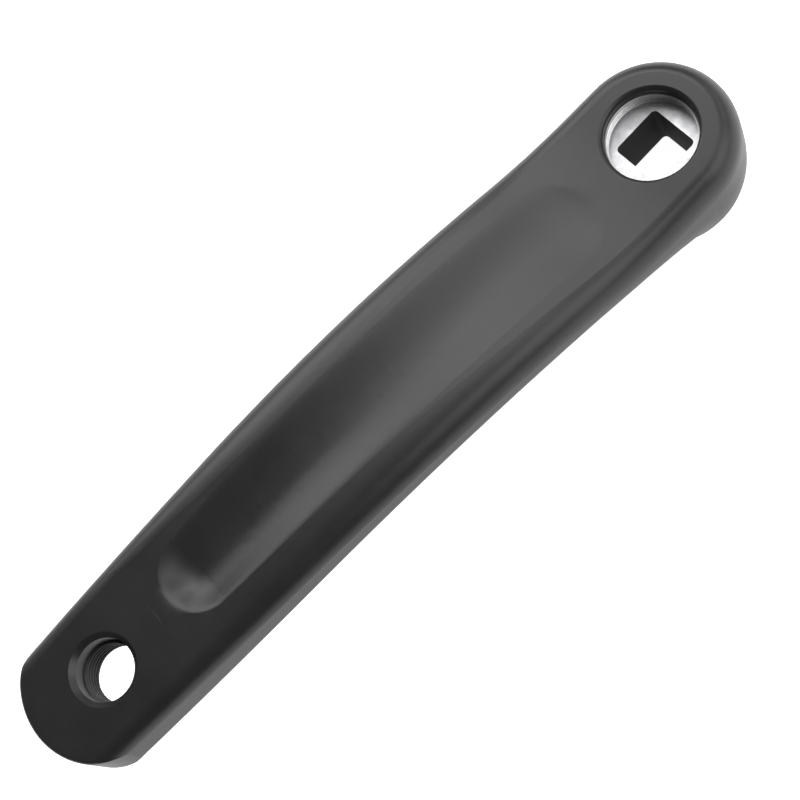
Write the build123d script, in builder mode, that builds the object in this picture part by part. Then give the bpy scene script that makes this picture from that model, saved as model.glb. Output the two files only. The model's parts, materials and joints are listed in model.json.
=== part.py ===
"""Bicycle crank arm: one forged and machined piece with a square-taper boss and a pedal eye.

Frame: the origin is on the spindle axis, in the boss's inner face. +X runs along the arm to the
pedal axis, and +Z points away from the bicycle, to the dished outer face. Sizes are millimetres.
"""

import os
from math import pi, radians, sin, sqrt, tan

from build123d import *

# Arm: its length, its section at the eye and how far its sides swell between the two ends
crank_length = 170.0
arm_thickness = 13.5
side_swell = 1.43
edge_swell = 4.0
back_edge_swell = 2.0
swell_lean = 1.25
haunch_length = 44.0

# Side view: the outer face leaves the boss, bends out, turns back and runs level into the eye
boss_height = 25.0
outward_offset = 15.5
bend_start = 7.3
bend_turn = 34.4
bend_end_gap = 46.9

# Boss: a barrel round the spindle axis, with elliptical edges given as width across and drop
boss_radius = 19.8
boss_edge_width = 4.8
boss_edge_drop = 7.1
boss_back_edge_width = 2.75
boss_back_edge_drop = 10.8
boss_back_inset = 0.05
arm_back_edge_drop = 5.9

# Eye: the flat end round the pedal axis. Its long edges are soft and its trimmed tip is crisp.
eye_half_width = 17.15
eye_edge_radius = 3.75
eye_back_edge_radius = 2.9
eye_end = 20.9
eye_tip_radius = 19.9
eye_corner_radius = 12.5
eye_tip_edge_radius = 1.0
eye_tip_back_edge_radius = 1.6

# Dish: the channel in the outer face. It starts round and shallow beyond the boss, deepens and ends round.
dish_start = 20.0
dish_boss_end_length = 8.5
dish_boss_depth = 0.5
dish_end_gap = 20.6
dish_depth = 3.5
dish_boss_half_width = 11.0
dish_eye_half_width = 9.7
dish_tip_half_width = 5.0
dish_side_swell = 1.0
dish_least_land = 0.3
dish_floor_share = 0.45
dish_boss_rim_share = 0.2
dish_eye_rim_share = 0.13
dish_end_power = 1.5

# Spindle socket: a square that tapers by the same angle on each side, and its retaining bolt's recess
socket_width = 13.04
socket_taper = 2.0
socket_corner_radius = 1.2
socket_mouth_chamfer = 0.6
recess_radius = 11.0
recess_floor = 17.7
recess_lip_radius = 1.2

# Pedal bore, at the outside of its thread, with a countersink at each face
pedal_bore_radius = 7.15
pedal_outer_chamfer = 1.25
pedal_inner_chamfer = 0.8
pedal_chamfer_angle = 90.0

# How finely the arm is drawn between its ends, and how far cutters reach past what they cut
arm_steps = 72
dish_end_steps = 20
eye_steps = 6
dish_end_margin = 4.0
cut_past = 8.0
lip_overrun = 0.04
trim_overrun = 0.05

eye_face = boss_height + outward_offset
eye_inner_face = eye_face - arm_thickness
bend_end = crank_length - bend_end_gap
bend_slope = 2 * outward_offset / (bend_end - bend_start)
dish_end = crank_length - dish_end_gap
dish_first = dish_start + dish_boss_end_length
dish_last = dish_end - dish_eye_half_width
eye_start = dish_end + dish_end_margin

# How fast the arm's sides close in at the pedal axis, where their straight taper and their swell both fall
side_slope = (boss_radius - eye_half_width + 4 * side_swell) / crank_length


def between(start, end, share):
    """A value that goes evenly from start to end."""
    return start + (end - start) * share


def bulge(share):
    """0 at both ends and 1 in the middle, as a parabola."""
    return 4 * share * (1 - share)


def outer_face(x):
    """Height of the outer face on the arm's middle line."""
    if x < bend_start:
        return boss_height
    if x < bend_turn:
        return boss_height + bend_slope * (x - bend_start) ** 2 / (2 * (bend_turn - bend_start))
    if x < bend_end:
        return eye_face - bend_slope * (bend_end - x) ** 2 / (2 * (bend_end - bend_turn))
    return eye_face


def half_width(x):
    """Half the arm's width at its widest level."""
    share = x / crank_length
    return between(boss_radius, eye_half_width, share) + side_swell * bulge(share)


def haunch(x):
    """1 at the spindle axis, falling to 0 where the arm has its own thickness."""
    return max(0.0, 1 - x / haunch_length) ** 3


def dish_section(x):
    """The dish across the arm at x: half its width, its depth, and the share of that width its rim takes."""
    share = max(0.0, (x - dish_first) / (dish_last - dish_first))
    rim = between(dish_boss_half_width, dish_eye_half_width, share) + dish_side_swell * bulge(share)
    rim_share = between(dish_boss_rim_share, dish_eye_rim_share, share)
    boss_round = 1 - min(1.0, max(0.0, (dish_first - x) / dish_boss_end_length)) ** 2
    eye_round = 1 - min(1.0, max(0.0, (x - dish_last) / dish_eye_half_width)) ** 2
    depth = between(dish_boss_depth, dish_depth, share) * boss_round * eye_round**dish_end_power
    return max(dish_tip_half_width, rim * sqrt(boss_round * eye_round)), depth, rim_share


def section_outline(width, outer, inner, edge, back_edge):
    """Sides and back of the arm's section, with elliptical edges given as (width, drop)."""
    across, drop = edge
    back_across, back_drop = back_edge
    EllipticalCenterArc((width - across, outer - drop), across, drop, 0)
    Line((width, outer - drop), (width, inner + back_drop))
    EllipticalCenterArc((width - back_across, inner + back_drop), back_across, back_drop, 270)
    Line((width - back_across, inner), (back_across - width, inner))
    EllipticalCenterArc((back_across - width, inner + back_drop), back_across, back_drop, 180)
    Line((-width, inner + back_drop), (-width, outer - drop))
    EllipticalCenterArc((across - width, outer - drop), across, drop, 90)


def dished_face(width, outer, dish):
    """The outer face across the arm: a level land at each side and the dish's curve between them."""
    rim, depth, rim_share = dish
    rim = min(rim, width - dish_least_land)
    floor = outer - depth
    floor_end = rim * dish_floor_share
    rim_start = rim * (1 - rim_share)
    Line((-width, outer), (-rim, outer))
    Bezier((-rim, outer), (-rim_start, outer), (-floor_end, floor), (0, floor))
    Bezier((0, floor), (floor_end, floor), (rim_start, outer), (rim, outer))
    Line((rim, outer), (width, outer))


def arm_outline(x):
    """Outline of the arm in the plane across it at x. At x = 0 it is the boss's own section."""
    share = x / crank_length
    swell = sin(pi * min(1.0, share) ** swell_lean) ** 2
    thickness = arm_thickness + (boss_height - arm_thickness) * haunch(x)
    across = between(boss_edge_width, eye_edge_radius, share) + edge_swell * swell
    drop = between(boss_edge_drop, eye_edge_radius, share)
    back_across = between(boss_back_edge_width, eye_back_edge_radius, share) + back_edge_swell * swell
    back_drop = between(arm_back_edge_drop, eye_back_edge_radius, share)
    back_drop += (boss_back_edge_drop - arm_back_edge_drop) * haunch(x)
    outer = outer_face(x)
    dished_face(half_width(x) - across, outer, dish_section(x))
    section_outline(half_width(x), outer, outer - thickness, (across, drop), (back_across, back_drop))


def boss_outline(inset):
    """The boss's section through its axis. An inset draws its walls in."""
    width = boss_radius - inset
    edge = (boss_edge_width, boss_edge_drop)
    back_edge = (boss_back_edge_width, boss_back_edge_drop)
    Line((boss_edge_width - width, boss_height), (width - boss_edge_width, boss_height))
    section_outline(width, boss_height, 0, edge, back_edge)


# Eye trimmer: all that lies outside the eye's plan of straight sides, round corners and a curved tip
trim_start = crank_length - cut_past
trim_end = crank_length + eye_end + cut_past
trim_height = arm_thickness + 2 * cut_past
trim_half_width = eye_half_width + side_slope * cut_past + trim_overrun
trim_end_half_width = trim_half_width - side_slope * (trim_end - trim_start)
with BuildPart() as eye_trimmer:
    with BuildSketch(Plane.XY.offset(eye_inner_face - cut_past)):
        with Locations((trim_end, 0)):
            Rectangle(2 * (trim_end - crank_length), 2 * (eye_half_width + cut_past))
    extrude(amount=trim_height)
    with BuildPart(mode=Mode.SUBTRACT) as eye_room:
        with BuildSketch(Plane.XY.offset(eye_inner_face - trim_overrun)) as eye_plan:
            with BuildLine():
                Polyline(
                    (trim_start, -trim_half_width),
                    (trim_end, -trim_end_half_width),
                    (trim_end, trim_end_half_width),
                    (trim_start, trim_half_width),
                    close=True,
                )
            make_face()
            with Locations((crank_length + eye_end - eye_tip_radius, 0)):
                Circle(eye_tip_radius, mode=Mode.INTERSECT)
            fillet(eye_plan.vertices().sort_by(Axis.X)[-2:], eye_corner_radius)
        extrude(amount=arm_thickness + 2 * trim_overrun)
        fillet(eye_room.edges().group_by(Axis.Z)[-1], eye_tip_edge_radius)
        fillet(eye_room.edges().group_by(Axis.Z)[0], eye_tip_back_edge_radius)

# Recess cutter: a plain cylinder that opens in a round lip just past the boss's outer face
lip_outer_radius = recess_radius + recess_lip_radius
lip_top = boss_height + lip_overrun
cutter_top = boss_height + cut_past
with BuildPart() as recess_cutter:
    with BuildSketch(Plane.XZ):
        with BuildLine():
            foot = Polyline((0, recess_floor), (recess_radius, recess_floor))
            wall = Line(foot @ 1, (recess_radius, lip_top - recess_lip_radius))
            lip = RadiusArc(wall @ 1, (lip_outer_radius, lip_top), recess_lip_radius)
            Polyline(lip @ 1, (lip_outer_radius, cutter_top), (0, cutter_top), foot @ 0)
        make_face()
    revolve(axis=Axis.Z)


# Socket cutter: the tapered square, and the wider taper that breaks its edges at the inner face
def socket_width_at(z):
    """Width of the square socket at height z. It closes in towards the outer face."""
    return socket_width + 2 * (recess_floor - z) * tan(radians(socket_taper))


def mouth_growth_at(z):
    """How far the 45 degree mouth stands outside the socket at height z. It ends at the chamfer's height."""
    return socket_mouth_chamfer - z


with BuildPart() as socket_cutter:
    for z in (-cut_past, (recess_floor + boss_height) / 2):
        with BuildSketch(Plane.XY.offset(z)):
            width = socket_width_at(z)
            RectangleRounded(width, width, socket_corner_radius)
    loft()
    for z in (-socket_mouth_chamfer, 2 * socket_mouth_chamfer):
        with BuildSketch(Plane.XY.offset(z)):
            width = socket_width_at(0) + 2 * mouth_growth_at(z)
            RectangleRounded(width, width, socket_corner_radius + mouth_growth_at(z))
    loft()

# Stations of the arm's sections, in three runs that meet where the dish rounds off and just past its end
def even_run(start, end, steps):
    """Places from start to end, evenly spaced so that the loft through them doesn't ripple."""
    return [between(start, end, step / steps) for step in range(steps + 1)]


arm_run = even_run(0, dish_last, arm_steps)
dish_end_run = even_run(dish_last, eye_start, dish_end_steps)
eye_run = even_run(eye_start, trim_end - cut_past / 2, eye_steps)

# The whole forging, then its machined holes
with BuildPart() as crank_arm:
    for run in (arm_run, dish_end_run, eye_run):
        for x in run:
            with BuildSketch(Plane(origin=(x, 0, 0), x_dir=(0, 1, 0), z_dir=(1, 0, 0))):
                with BuildLine():
                    arm_outline(x)
                make_face()
        loft()
    for height, inset, turn in ((boss_height, 0, 180), (boss_back_edge_drop, boss_back_inset, -180)):
        with BuildSketch(Plane.YZ):
            with BuildLine():
                boss_outline(inset)
            make_face()
            with Locations((boss_radius / 2, height / 2)):
                Rectangle(boss_radius, height, mode=Mode.INTERSECT)
        revolve(axis=Axis.Z, revolution_arc=turn)
    add(eye_trimmer.part, mode=Mode.SUBTRACT)
    add(recess_cutter.part, mode=Mode.SUBTRACT)
    add(socket_cutter.part, mode=Mode.SUBTRACT)
    outer_mouth = Plane(origin=(crank_length, 0, eye_face))
    inner_mouth = Plane(origin=(crank_length, 0, eye_inner_face), z_dir=(0, 0, -1))
    for mouth, rim in ((outer_mouth, pedal_outer_chamfer), (inner_mouth, pedal_inner_chamfer)):
        rim_radius = pedal_bore_radius + rim
        with Locations(mouth):
            CounterSinkHole(pedal_bore_radius, rim_radius, counter_sink_angle=pedal_chamfer_angle)

crank_arm.part.label = "crank_arm"
os.makedirs("parts", exist_ok=True)
export_step(crank_arm.part, "parts/crank_arm.step")
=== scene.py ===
import json
from math import pi, radians

import bmesh
import bpy
import mathutils
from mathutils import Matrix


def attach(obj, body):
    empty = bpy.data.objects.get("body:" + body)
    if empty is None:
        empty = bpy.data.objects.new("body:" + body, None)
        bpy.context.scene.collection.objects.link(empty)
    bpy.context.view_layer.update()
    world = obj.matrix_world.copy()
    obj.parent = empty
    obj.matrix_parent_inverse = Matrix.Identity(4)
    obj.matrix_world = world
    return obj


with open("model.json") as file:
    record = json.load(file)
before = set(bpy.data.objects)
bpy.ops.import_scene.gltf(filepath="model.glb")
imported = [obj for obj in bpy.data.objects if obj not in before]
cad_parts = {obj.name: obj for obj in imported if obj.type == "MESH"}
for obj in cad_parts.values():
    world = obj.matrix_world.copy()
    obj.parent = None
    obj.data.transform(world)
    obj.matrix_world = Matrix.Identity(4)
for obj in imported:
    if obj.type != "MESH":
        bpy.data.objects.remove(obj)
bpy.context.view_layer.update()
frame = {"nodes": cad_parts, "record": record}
scene = bpy.context.scene
scene.view_settings.view_transform = "Standard"

# Crank arm: one aluminium forging, bent outwards in an S and dished on its outer face.
# It is blasted and coated satin black. The bolt recess is cut after that, so its threaded
# wall and its floor are bare turned metal, up to a coated band below the lip.
crank_arm = frame["nodes"]["crank_arm"]
mounts = {mount["name"]: mount for mount in frame["record"]["mounts"]}
mm_per_metre = 1000.0
recess_radius = mounts["extractor_thread"]["dims"]["r_mm"] / mm_per_metre
recess_floor = 0.0177
wall_margin = 0.0004
floor_margin = 0.00004
coat_edge = 0.0221
coat_wander = 0.00012
coat_black = (0.022, 0.022, 0.0224, 1.0)
coat_pale_black = (0.027, 0.027, 0.0274, 1.0)
coat_smoothest = 0.34
coat_roughest = 0.37
coat_speckle = 0.02
coat_ior = 1.5
blast_depth = 0.00002
blast_strength = 0.25
socket_mouth = 0.0006
socket_black = (0.045, 0.045, 0.045, 1.0)
socket_roughness = 0.75
bare_metal = (0.84, 0.84, 0.85, 1.0)
bare_metal_dull = (0.72, 0.72, 0.73, 1.0)
bare_smoothest = 0.42
bare_roughest = 0.52
# Painted shade: the plain recess wall between the thread's ridges is painted a darker grey than the bare
# metal.
recess_wall_painted_shade = (0.62, 0.62, 0.63, 1.0)
valley_start = recess_radius - 0.0004
valley_end = recess_radius - 0.0001
valley_roughness = 0.8
grain_low = 0.3
grain_high = 0.7
smear_low = 0.35
smear_high = 0.65


def add_node(tree, kind, **settings):
    """A new node of a tree with its settings."""
    node = tree.nodes.new(kind)
    for setting, value in settings.items():
        setattr(node, setting, value)
    return node


def feed(tree, socket, value):
    """A link from an output, or a fixed value, into a node's input."""
    if isinstance(value, bpy.types.NodeSocket):
        tree.links.new(value, socket)
    else:
        socket.default_value = value


def work_out(tree, operation, first, second):
    """One arithmetic step on two numbers."""
    node = add_node(tree, "ShaderNodeMath", operation=operation)
    feed(tree, node.inputs[0], first)
    feed(tree, node.inputs[1], second)
    return node.outputs["Value"]


def grain(tree, place, scale, detail, rough):
    """Cloudy grain at a number of features per metre."""
    node = add_node(tree, "ShaderNodeTexNoise")
    feed(tree, node.inputs["Vector"], place)
    node.inputs["Scale"].default_value = scale
    node.inputs["Detail"].default_value = detail
    node.inputs["Roughness"].default_value = rough
    return node.outputs["Fac"]


def spread(tree, value, low, high, low_out, high_out):
    """A value taken from one range to another, held at the ends."""
    node = add_node(tree, "ShaderNodeMapRange")
    feed(tree, node.inputs["Value"], value)
    feed(tree, node.inputs["From Min"], low)
    feed(tree, node.inputs["From Max"], high)
    feed(tree, node.inputs["To Min"], low_out)
    feed(tree, node.inputs["To Max"], high_out)
    return node.outputs["Result"]


def blend_colour(tree, share, first, second):
    """Two colours blended by a share."""
    node = add_node(tree, "ShaderNodeMix", data_type="RGBA")
    ports = {port.identifier: port for port in [*node.inputs, *node.outputs]}
    feed(tree, ports["Factor_Float"], share)
    feed(tree, ports["A_Color"], first)
    feed(tree, ports["B_Color"], second)
    return ports["Result_Color"]


def blend_number(tree, share, first, second):
    """Two numbers blended by a share."""
    node = add_node(tree, "ShaderNodeMix", data_type="FLOAT")
    feed(tree, node.inputs["Factor"], share)
    feed(tree, node.inputs["A"], first)
    feed(tree, node.inputs["B"], second)
    return node.outputs["Result"]


def bump(tree, height, distance, strength):
    """Relief of a height."""
    node = add_node(tree, "ShaderNodeBump")
    feed(tree, node.inputs["Height"], height)
    node.inputs["Distance"].default_value = distance
    node.inputs["Strength"].default_value = strength
    return node.outputs["Normal"]


def finish_material(name):
    """A material with its tree, its shader and the place on the piece."""
    material = bpy.data.materials.new(name)
    material.use_nodes = True
    tree = material.node_tree
    place = add_node(tree, "ShaderNodeTexCoord").outputs["Object"]
    return material, tree, tree.nodes["Principled BSDF"], place


def coat_finish(tree, place):
    """Colour, roughness and relief of the blasted black coat."""
    cloud = grain(tree, place, scale=90.0, detail=3.0, rough=0.6)
    blast = grain(tree, place, scale=2600.0, detail=2.0, rough=0.5)
    paleness = spread(tree, cloud, grain_low, grain_high, 0.0, 1.0)
    colour = blend_colour(tree, paleness, coat_black, coat_pale_black)
    wide = spread(tree, cloud, grain_low, grain_high, coat_smoothest, coat_roughest)
    fine = spread(tree, blast, grain_low, grain_high, -coat_speckle, coat_speckle)
    roughness = work_out(tree, "ADD", wide, fine)
    relief = bump(tree, blast, blast_depth, blast_strength)
    return colour, roughness, relief


def spindle_place(tree, place):
    """A point's distance from the spindle's axis and its height along that axis."""
    parts = add_node(tree, "ShaderNodeSeparateXYZ")
    feed(tree, parts.inputs["Vector"], place)
    flat = add_node(tree, "ShaderNodeCombineXYZ")
    feed(tree, flat.inputs["X"], parts.outputs["X"])
    feed(tree, flat.inputs["Y"], parts.outputs["Y"])
    length = add_node(tree, "ShaderNodeVectorMath", operation="LENGTH")
    feed(tree, length.inputs[0], flat.outputs["Vector"])
    return length.outputs["Value"], parts.outputs["Z"]


def bare_finish(tree, place, radius, valley_shade_colour):
    """Colour and roughness of bare turned aluminium, with painted shade in another colour deep in the
    thread's valleys.
    """
    smear = grain(tree, place, scale=700.0, detail=3.0, rough=0.65)
    brightness = spread(tree, smear, smear_low, smear_high, 0.0, 1.0)
    clean = blend_colour(tree, brightness, bare_metal_dull, bare_metal)
    polish = spread(tree, smear, grain_low, grain_high, bare_roughest, bare_smoothest)
    # Painted shade: near the bore's wall the metal takes the darker colour given, standing in for the
    # shade in the thread's valleys.
    shaded_valley = spread(tree, radius, valley_start, valley_end, 0.0, 1.0)
    colour = blend_colour(tree, shaded_valley, clean, valley_shade_colour)
    roughness = blend_number(tree, shaded_valley, polish, valley_roughness)
    return colour, roughness


coat, tree, shader, place = finish_material("satin_black_coat")
coat_colour, coat_roughness, coat_relief = coat_finish(tree, place)
radius, height = spindle_place(tree, place)
# Near the wall the bare metal of the recess takes painted shade.
bare_colour, bare_roughness = bare_finish(tree, place, radius, recess_wall_painted_shade)
edge_grain = grain(tree, place, scale=900.0, detail=2.0, rough=0.5)
ragged = spread(tree, edge_grain, grain_low, grain_high, -coat_wander, coat_wander)
in_recess = work_out(tree, "LESS_THAN", radius, recess_radius + wall_margin)
below_coat = work_out(tree, "LESS_THAN", height, work_out(tree, "ADD", ragged, coat_edge))
above_socket = work_out(tree, "GREATER_THAN", height, recess_floor - floor_margin)
above_mouth = work_out(tree, "GREATER_THAN", height, socket_mouth)
bare = work_out(tree, "MULTIPLY", work_out(tree, "MULTIPLY", in_recess, below_coat), above_socket)
at_socket_height = work_out(tree, "SUBTRACT", above_mouth, above_socket)
in_socket = work_out(tree, "MULTIPLY", in_recess, at_socket_height)
wall_colour = blend_colour(tree, in_socket, coat_colour, socket_black)
wall_roughness = blend_number(tree, in_socket, coat_roughness, socket_roughness)
feed(tree, shader.inputs["Base Color"], blend_colour(tree, bare, wall_colour, bare_colour))
feed(tree, shader.inputs["Metallic"], bare)
feed(tree, shader.inputs["Roughness"], blend_number(tree, bare, wall_roughness, bare_roughness))
feed(tree, shader.inputs["Normal"], coat_relief)
shader.inputs["IOR"].default_value = coat_ior
crank_arm.data.materials.clear()
crank_arm.data.materials.append(coat)

# Extractor thread: the 22 mm by 1 mm right-hand thread cut in the recess wall, in bare metal.
# Its ridges stand inwards from the plain wall and die out at both ends. Their feet carry painted shade.
extractor_pitch = 0.001
extractor_clearance = 0.0007
extractor_length = 0.0041
ridge_share = 0.5413
foot_share = 0.875
crest_share = 0.25
foot_sink = 0.00002
fade_turns = 0.5
thin_end = 0.05
steps_per_turn = 96
# Painted shade: the ridge's foot, where it meets the wall, is painted dark grey.
thread_root_painted_shade = (0.16, 0.16, 0.16, 1.0)
ring_depth = 0.00002
ring_strength = 0.3


def screw_thread_tree():
    """Nodes for a cut internal thread: a ridge swept along a helix on the wall of a bore."""
    tree = bpy.data.node_groups.new("screw_thread", "GeometryNodeTree")
    ports = tree.interface
    ports.new_socket("Geometry", in_out="OUTPUT", socket_type="NodeSocketGeometry")
    for name in ("Bore Radius", "Pitch", "Length", "Ridge Height", "Foot Width", "Crest Width"):
        ports.new_socket(name, in_out="INPUT", socket_type="NodeSocketFloat")
    for name in ("Foot Sink", "Fade Turns", "Thin End"):
        ports.new_socket(name, in_out="INPUT", socket_type="NodeSocketFloat")
    ports.new_socket("Steps per Turn", in_out="INPUT", socket_type="NodeSocketInt")
    ports.new_socket("Right Hand", in_out="INPUT", socket_type="NodeSocketBool")
    ports.new_socket("Start", in_out="INPUT", socket_type="NodeSocketVector")
    ports.new_socket("Finish", in_out="INPUT", socket_type="NodeSocketMaterial")
    sizes = add_node(tree, "NodeGroupInput").outputs
    turns = work_out(tree, "DIVIDE", sizes["Length"], sizes["Pitch"])
    helix = add_node(tree, "GeometryNodeCurveSpiral")
    feed(tree, helix.inputs["Resolution"], sizes["Steps per Turn"])
    feed(tree, helix.inputs["Rotations"], turns)
    feed(tree, helix.inputs["Start Radius"], sizes["Bore Radius"])
    feed(tree, helix.inputs["End Radius"], sizes["Bore Radius"])
    feed(tree, helix.inputs["Height"], sizes["Length"])
    feed(tree, helix.inputs["Reverse"], sizes["Right Hand"])
    upright = add_node(tree, "GeometryNodeSetCurveNormal", mode="Z_UP")
    feed(tree, upright.inputs["Curve"], helix.outputs["Curve"])
    ridge = add_node(tree, "GeometryNodeCurvePrimitiveQuadrilateral", mode="TRAPEZOID")
    feed(tree, ridge.inputs["Height"], work_out(tree, "ADD", sizes["Ridge Height"], sizes["Foot Sink"]))
    feed(tree, ridge.inputs["Bottom Width"], sizes["Foot Width"])
    feed(tree, ridge.inputs["Top Width"], sizes["Crest Width"])
    ridge.inputs["Offset"].default_value = 0.0
    above_foot = work_out(tree, "SUBTRACT", sizes["Ridge Height"], sizes["Foot Sink"])
    shift = add_node(tree, "ShaderNodeCombineXYZ")
    feed(tree, shift.inputs["X"], work_out(tree, "MULTIPLY", above_foot, 0.5))
    inwards = add_node(tree, "GeometryNodeTransform")
    feed(tree, inwards.inputs["Geometry"], ridge.outputs["Curve"])
    feed(tree, inwards.inputs["Translation"], shift.outputs["Vector"])
    inwards.inputs["Rotation"].default_value = (0.0, 0.0, radians(-90.0))
    side = add_node(tree, "ShaderNodeCombineXYZ")
    feed(tree, side.inputs["X"], spread(tree, sizes["Right Hand"], 0.0, 1.0, 1.0, -1.0))
    side.inputs["Y"].default_value = 1.0
    side.inputs["Z"].default_value = 1.0
    faced = add_node(tree, "GeometryNodeTransform")
    feed(tree, faced.inputs["Geometry"], inwards.outputs["Geometry"])
    feed(tree, faced.inputs["Scale"], side.outputs["Vector"])
    along = add_node(tree, "GeometryNodeSplineParameter").outputs["Factor"]
    from_end = work_out(tree, "MINIMUM", along, work_out(tree, "SUBTRACT", 1.0, along))
    turns_from_end = work_out(tree, "MULTIPLY", from_end, turns)
    fade = work_out(tree, "DIVIDE", turns_from_end, sizes["Fade Turns"])
    sweep = add_node(tree, "GeometryNodeCurveToMesh")
    feed(tree, sweep.inputs["Curve"], upright.outputs["Curve"])
    feed(tree, sweep.inputs["Profile Curve"], faced.outputs["Geometry"])
    feed(tree, sweep.inputs["Scale"], spread(tree, fade, 0.0, 1.0, sizes["Thin End"], 1.0))
    sweep.inputs["Fill Caps"].default_value = True
    set_place = add_node(tree, "GeometryNodeTransform")
    feed(tree, set_place.inputs["Geometry"], sweep.outputs["Mesh"])
    feed(tree, set_place.inputs["Translation"], sizes["Start"])
    facets = add_node(tree, "GeometryNodeSetShadeSmooth")
    feed(tree, facets.inputs["Geometry"], set_place.outputs["Geometry"])
    facets.inputs["Shade Smooth"].default_value = False
    real = add_node(tree, "GeometryNodeRealizeInstances")
    feed(tree, real.inputs["Geometry"], facets.outputs["Geometry"])
    finish = add_node(tree, "GeometryNodeSetMaterial")
    feed(tree, finish.inputs["Geometry"], real.outputs["Geometry"])
    feed(tree, finish.inputs["Material"], sizes["Finish"])
    result = add_node(tree, "NodeGroupOutput")
    feed(tree, result.inputs["Geometry"], finish.outputs["Geometry"])
    return tree


screw_thread = screw_thread_tree()


def cut_thread(name, bore_radius, pitch, start, length, right_hand, finish):
    """A thread's ridge as a plain mesh, riding on the arm."""
    maker = bpy.data.objects.new(name + "_maker", bpy.data.meshes.new(name + "_maker"))
    scene.collection.objects.link(maker)
    modifier = maker.modifiers.new("thread", "NODES")
    modifier.node_group = screw_thread
    sizes = {
        "Bore Radius": bore_radius,
        "Pitch": pitch,
        "Length": length,
        "Ridge Height": ridge_share * pitch,
        "Foot Width": foot_share * pitch,
        "Crest Width": crest_share * pitch,
        "Foot Sink": foot_sink,
        "Fade Turns": fade_turns,
        "Thin End": thin_end,
        "Steps per Turn": steps_per_turn,
        "Right Hand": right_hand,
        "Start": start,
        "Finish": finish,
    }
    for port in screw_thread.interface.items_tree:
        if port.in_out == "INPUT":
            modifier[port.identifier] = sizes[port.name]
    made = maker.evaluated_get(bpy.context.evaluated_depsgraph_get())
    mesh = bpy.data.meshes.new_from_object(made)
    mesh.name = name
    bpy.data.objects.remove(maker)
    work = bmesh.new()
    work.from_mesh(mesh)
    bmesh.ops.recalc_face_normals(work, faces=work.faces)
    work.to_mesh(mesh)
    work.free()
    thread = bpy.data.objects.new(name, mesh)
    scene.collection.objects.link(thread)
    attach(thread, "root")


def turned_rings(tree, radius, height):
    """Relief of the fine rings that a cutting tool leaves about the spindle's axis."""
    ring_place = add_node(tree, "ShaderNodeCombineXYZ")
    feed(tree, ring_place.inputs["X"], radius)
    feed(tree, ring_place.inputs["Y"], height)
    rings = grain(tree, ring_place.outputs["Vector"], scale=3500.0, detail=2.0, rough=0.6)
    return bump(tree, rings, ring_depth, ring_strength)


bare_aluminium, tree, shader, place = finish_material("bare_turned_aluminium")
radius, height = spindle_place(tree, place)
ridge_colour, ridge_roughness = bare_finish(tree, place, radius, thread_root_painted_shade)
feed(tree, shader.inputs["Base Color"], ridge_colour)
feed(tree, shader.inputs["Roughness"], ridge_roughness)
feed(tree, shader.inputs["Normal"], turned_rings(tree, radius, height))
shader.inputs["Metallic"].default_value = 1.0
cut_thread(
    "extractor_thread_ridge",
    bore_radius=recess_radius,
    pitch=extractor_pitch,
    start=(0.0, 0.0, recess_floor + extractor_clearance),
    length=extractor_length,
    right_hand=True,
    finish=bare_aluminium,
)

# Pedal thread: 9/16 inch by 20 threads to the inch, left-hand on this side, coated with the arm.
# The bore is plain for about three turns below its outer countersink.
pedal_axis = mounts["pedal_thread"]["pos_m"][0]
pedal_bore_radius = mounts["pedal_thread"]["dims"]["r_mm"] / mm_per_metre
pedal_pitch = 0.00127
pedal_start = 0.0282
pedal_length = 0.0077
cut_roughness = 0.15
black_thread, tree, shader, place = finish_material("satin_black_thread")
thread_colour, thread_roughness, thread_relief = coat_finish(tree, place)
feed(tree, shader.inputs["Base Color"], thread_colour)
feed(tree, shader.inputs["Roughness"], work_out(tree, "ADD", thread_roughness, cut_roughness))
feed(tree, shader.inputs["Normal"], thread_relief)
shader.inputs["IOR"].default_value = coat_ior
cut_thread(
    "pedal_thread_ridge",
    bore_radius=pedal_bore_radius,
    pitch=pedal_pitch,
    start=(pedal_axis, 0.0, pedal_start),
    length=pedal_length,
    right_hand=False,
    finish=black_thread,
)

# Floor: a plain white studio sheet under the arm, which rests on the back of its boss.
# Part of its white is shown to the eye and to the gloss alone. The rest is lit, so the
# sheet takes the arm's shadow.
floor_size = 4.0
sheet_white = (0.9, 0.9, 0.9, 1.0)
sheet_roughness = 0.9
sheet_glow = 0.97
gloss_share = 0.6
pure_white = (1.0, 1.0, 1.0, 1.0)
bpy.ops.mesh.primitive_plane_add(size=floor_size)
floor = bpy.context.object
floor.name = "studio_sheet"
sheet = bpy.data.materials.new("white_sheet")
sheet.use_nodes = True
tree = sheet.node_tree
sheet_shader = tree.nodes["Principled BSDF"]
sheet_shader.inputs["Base Color"].default_value = sheet_white
sheet_shader.inputs["Roughness"].default_value = sheet_roughness
sheet_shader.inputs["Specular IOR Level"].default_value = 0.0
sheet_shader.inputs["Emission Color"].default_value = pure_white
rays = add_node(tree, "ShaderNodeLightPath").outputs
in_gloss = work_out(tree, "MULTIPLY", rays["Is Glossy Ray"], gloss_share)
seen = work_out(tree, "MAXIMUM", rays["Is Camera Ray"], in_gloss)
feed(tree, sheet_shader.inputs["Emission Strength"], work_out(tree, "MULTIPLY", seen, sheet_glow))
floor.data.materials.append(sheet)

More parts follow.
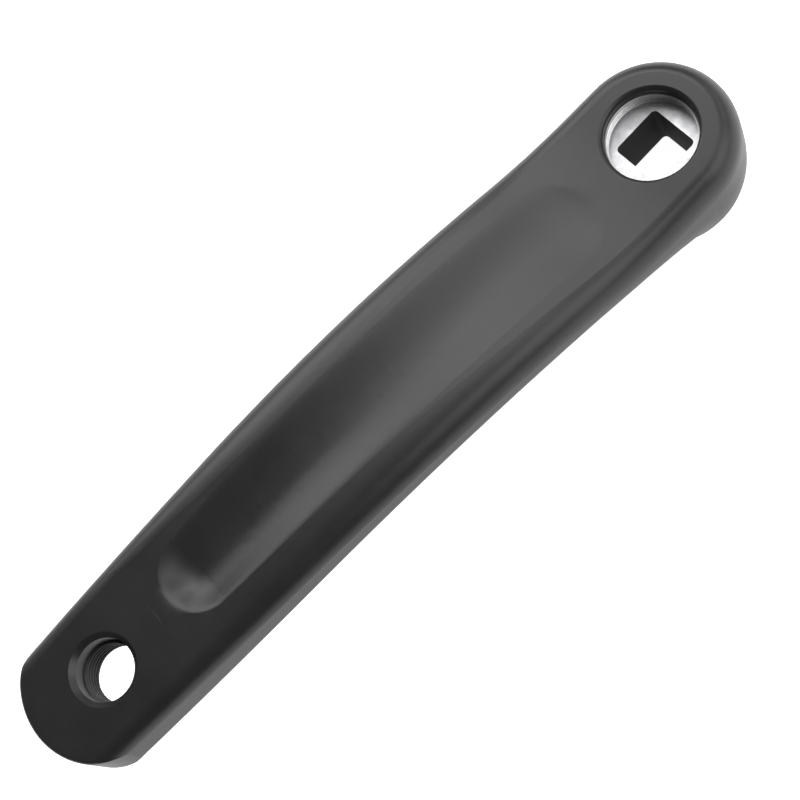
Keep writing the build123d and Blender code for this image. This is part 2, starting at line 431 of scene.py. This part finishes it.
# Room: pale walls low down and a dark ceiling, so that the arm's edges are light and its face is dark.
# Seen straight on it is white all round, as in the photo.
wall_white = 0.62
ceiling_dark = 0.02
wall_foot = 0.04
wall_top = 0.30
world = bpy.data.worlds.new("white_room")
world.use_nodes = True
tree = world.node_tree
background = tree.nodes["Background"]
looking = add_node(tree, "ShaderNodeTexCoord").outputs["Generated"]
upwards = add_node(tree, "ShaderNodeSeparateXYZ")
feed(tree, upwards.inputs["Vector"], looking)
room_light = spread(tree, upwards.outputs["Z"], wall_foot, wall_top, wall_white, ceiling_dark)
straight_on = add_node(tree, "ShaderNodeLightPath").outputs["Is Camera Ray"]
background.inputs["Color"].default_value = pure_white
feed(tree, background.inputs["Strength"], work_out(tree, "MAXIMUM", room_light, straight_on))
scene.world = world

# Light: seven soft boxes, a metre from the arm. Three stand high, beyond the boss and overhead, and
# light the boss and the dish. Two lie along the upper edge and one along the near side, for the long
# edges, and a low one beyond the boss lights its shoulder.
light_aim = mathutils.Vector((0.085, 0.0, 0.03))
light_distance = 1.0


def soft_box(name, azimuth, elevation, width, height, brightness):
    """A soft area lamp, placed round the arm by its angles and as bright all over as it is told."""
    turn = mathutils.Euler((0.0, radians(-elevation), radians(azimuth)))
    way = mathutils.Vector((1.0, 0.0, 0.0))
    way.rotate(turn)
    lamp = bpy.data.lights.new(name, "AREA")
    lamp.shape = "RECTANGLE"
    lamp.size = width
    lamp.size_y = height
    lamp.energy = pi * width * height * brightness
    box = bpy.data.objects.new(name, lamp)
    box.location = light_aim + way * light_distance
    box.rotation_euler = (-way).to_track_quat("-Z", "Y").to_euler()
    scene.collection.objects.link(box)


soft_box("boss_end_box", azimuth=225, elevation=46, width=0.54, height=0.36, brightness=3.6)
soft_box("overhead_box", azimuth=206, elevation=66, width=0.82, height=0.34, brightness=2.0)
soft_box("top_box", azimuth=200, elevation=86, width=0.50, height=0.42, brightness=0.4)
soft_box("upper_edge_box", azimuth=264, elevation=27, width=0.75, height=0.36, brightness=3.1)
soft_box("upper_fill_box", azimuth=265, elevation=45, width=0.52, height=0.32, brightness=2.2)
soft_box("near_side_box", azimuth=134, elevation=34, width=0.76, height=0.94, brightness=2.2)
soft_box("boss_shoulder_box", azimuth=182, elevation=26, width=0.60, height=0.48, brightness=1.4)

# Camera: above the arm and on its lower side, with the boss at the upper right.
# Its lens, place and turn are fitted to the arm's outline and to the edges of its holes.
camera_data = bpy.data.cameras.new("camera")
camera_data.sensor_width = 36.0
camera_data.lens = 78.65
camera = bpy.data.objects.new("camera", camera_data)
camera.location = (0.07399, 0.15386, 0.38979)
camera.rotation_euler = (radians(15.325), radians(17.114), radians(136.121))
scene.collection.objects.link(camera)
scene.camera = camera
